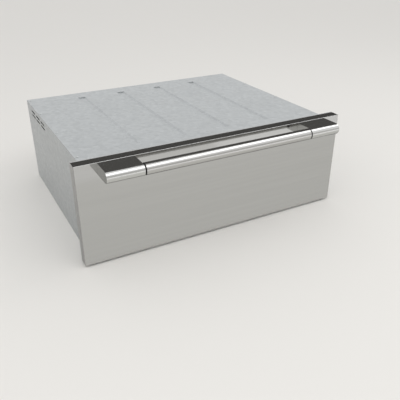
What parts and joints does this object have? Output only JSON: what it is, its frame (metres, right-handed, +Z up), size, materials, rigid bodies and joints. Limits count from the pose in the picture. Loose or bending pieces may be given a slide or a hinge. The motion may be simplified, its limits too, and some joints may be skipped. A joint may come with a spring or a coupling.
{
  "type": "built-in warming drawer",
  "caption": "Built-in warming drawer with a brushed stainless front, bar handle, heated insulated cavity, lift-out pan and rack, and ball-bearing slides.",
  "frame": {"origin": "centre of the casing's flat underside, which stands on the cabinet's shelf", "axes": "+Z up; the drawer opens towards -Y; seen from in front, +X is to the right"},
  "size_m": [0.756, 0.6947, 0.2665],
  "materials": {
    "brushed_stainless": "fine horizontal brushing, satin",
    "polished_stainless": "bright drawn stainless steel",
    "liner_steel": "mill-finish stainless sheet",
    "galvanised_steel": "galvanised sheet with a faint spangle",
    "zinc_plated_steel": "clear zinc plating on cold-rolled sections",
    "ball_steel": "hardened and polished bearing balls in a pressed cage",
    "element_sheath": "oxidised tubular sheath",
    "motor_steel": "zinc-coated motor can and pressed wheel",
    "black_plastic": "black moulded plastic, fine matt",
    "silicone": "moulded silicone",
    "glass_wool": "compressed glass wool",
    "amber_lens": "translucent amber moulding"
  },
  "bodies": {
    "casing": {"base_pan": "galvanised_steel", "top_cover": "galvanised_steel", "rear_panel": "galvanised_steel", "side_panel_left": "galvanised_steel", "side_panel_right": "galvanised_steel", "frame_sill": "liner_steel", "frame_header": "liner_steel", "frame_stile_left": "liner_steel", "frame_stile_right": "liner_steel", "drawer_gasket": "silicone", "cavity_floor": "liner_steel", "cavity_roof": "liner_steel", "cavity_back": "liner_steel", "cavity_side_left": "liner_steel", "cavity_side_right": "liner_steel", "insulation_bottom": "glass_wool", "insulation_top": "glass_wool", "insulation_back": "glass_wool", "insulation_left": "glass_wool", "insulation_right": "glass_wool", "heating_element": "element_sheath", "fan_cover": "liner_steel", "fan_motor": "motor_steel", "temperature_probe": "polished_stainless", "wiring_shelf": "galvanised_steel", "power_supply": "black_plastic", "control_panel": "liner_steel", "control_unit": "black_plastic", "pilot_lens": "amber_lens", "junction_box": "galvanised_steel", "junction_cover": "galvanised_steel", "cable_gland": "black_plastic", "slide_cabinet_left": "zinc_plated_steel", "slide_cabinet_right": "zinc_plated_steel"},
    "drawer": {"front_shell": "brushed_stainless", "front_inner_panel": "liner_steel", "front_insulation": "glass_wool", "handle_bar": "brushed_stainless", "handle_bracket_left": "brushed_stainless", "handle_bracket_right": "brushed_stainless", "handle_ring_left": "black_plastic", "handle_ring_right": "black_plastic", "drawer_back_rail": "liner_steel", "drawer_side_left": "liner_steel", "drawer_side_right": "liner_steel", "slide_drawer_left": "zinc_plated_steel", "slide_drawer_right": "zinc_plated_steel", "serving_pan": "polished_stainless", "wire_rack": "polished_stainless"},
    "slide_middle_left": {"slide_middle_left": "zinc_plated_steel"},
    "slide_middle_right": {"slide_middle_right": "zinc_plated_steel"},
    "outer_cage_left": {"slide_outer_cage_left": "ball_steel"},
    "outer_cage_right": {"slide_outer_cage_right": "ball_steel"},
    "inner_cage_left": {"slide_inner_cage_left": "ball_steel"},
    "inner_cage_right": {"slide_inner_cage_right": "ball_steel"},
    "fan": {"fan_wheel": "motor_steel"},
    "knob": {"temperature_knob": "black_plastic"},
    "button": {"power_button": "black_plastic"},
    "vent": {"vent_slider": "black_plastic"}
  },
  "joints": [
    {"name": "drawer_slide", "type": "slide", "parent": "casing", "child": "drawer", "axis": [0, -1, 0], "range_m": [0, 0.44]},
    {"name": "slide_middle_left_slide", "type": "slide", "parent": "casing", "child": "slide_middle_left", "axis": [0, -1, 0], "range_m": [0, 0.22]},
    {"name": "outer_cage_left_slide", "type": "slide", "parent": "casing", "child": "outer_cage_left", "axis": [0, -1, 0], "range_m": [0, 0.11]},
    {"name": "inner_cage_left_slide", "type": "slide", "parent": "casing", "child": "inner_cage_left", "axis": [0, -1, 0], "range_m": [0, 0.33]},
    {"name": "slide_middle_right_slide", "type": "slide", "parent": "casing", "child": "slide_middle_right", "axis": [0, -1, 0], "range_m": [0, 0.22]},
    {"name": "outer_cage_right_slide", "type": "slide", "parent": "casing", "child": "outer_cage_right", "axis": [0, -1, 0], "range_m": [0, 0.11]},
    {"name": "inner_cage_right_slide", "type": "slide", "parent": "casing", "child": "inner_cage_right", "axis": [0, -1, 0], "range_m": [0, 0.33]},
    {"name": "fan_spin", "type": "hinge", "parent": "casing", "child": "fan", "pos_m": [0, 0.216, 0.128], "axis": [0, 1, 0], "continuous": true},
    {"name": "knob_turn", "type": "hinge", "parent": "casing", "child": "knob", "pos_m": [0.128, -0.26, 0.233], "axis": [0, 1, 0], "range_deg": [0, 270]},
    {"name": "button_press", "type": "slide", "parent": "casing", "child": "button", "axis": [0, 1, 0], "range_m": [0, 0.0025], "stiffness_N_per_m": 400},
    {"name": "vent_adjust", "type": "slide", "parent": "drawer", "child": "vent", "axis": [1, 0, 0], "range_m": [0, 0.018]}
  ],
  "couplings": [
    {"joint": "slide_middle_left_slide", "follows": "drawer_slide", "ratio": 0.5},
    {"joint": "outer_cage_left_slide", "follows": "drawer_slide", "ratio": 0.25},
    {"joint": "inner_cage_left_slide", "follows": "drawer_slide", "ratio": 0.75},
    {"joint": "slide_middle_right_slide", "follows": "drawer_slide", "ratio": 0.5},
    {"joint": "outer_cage_right_slide", "follows": "drawer_slide", "ratio": 0.25},
    {"joint": "inner_cage_right_slide", "follows": "drawer_slide", "ratio": 0.75}
  ]
}
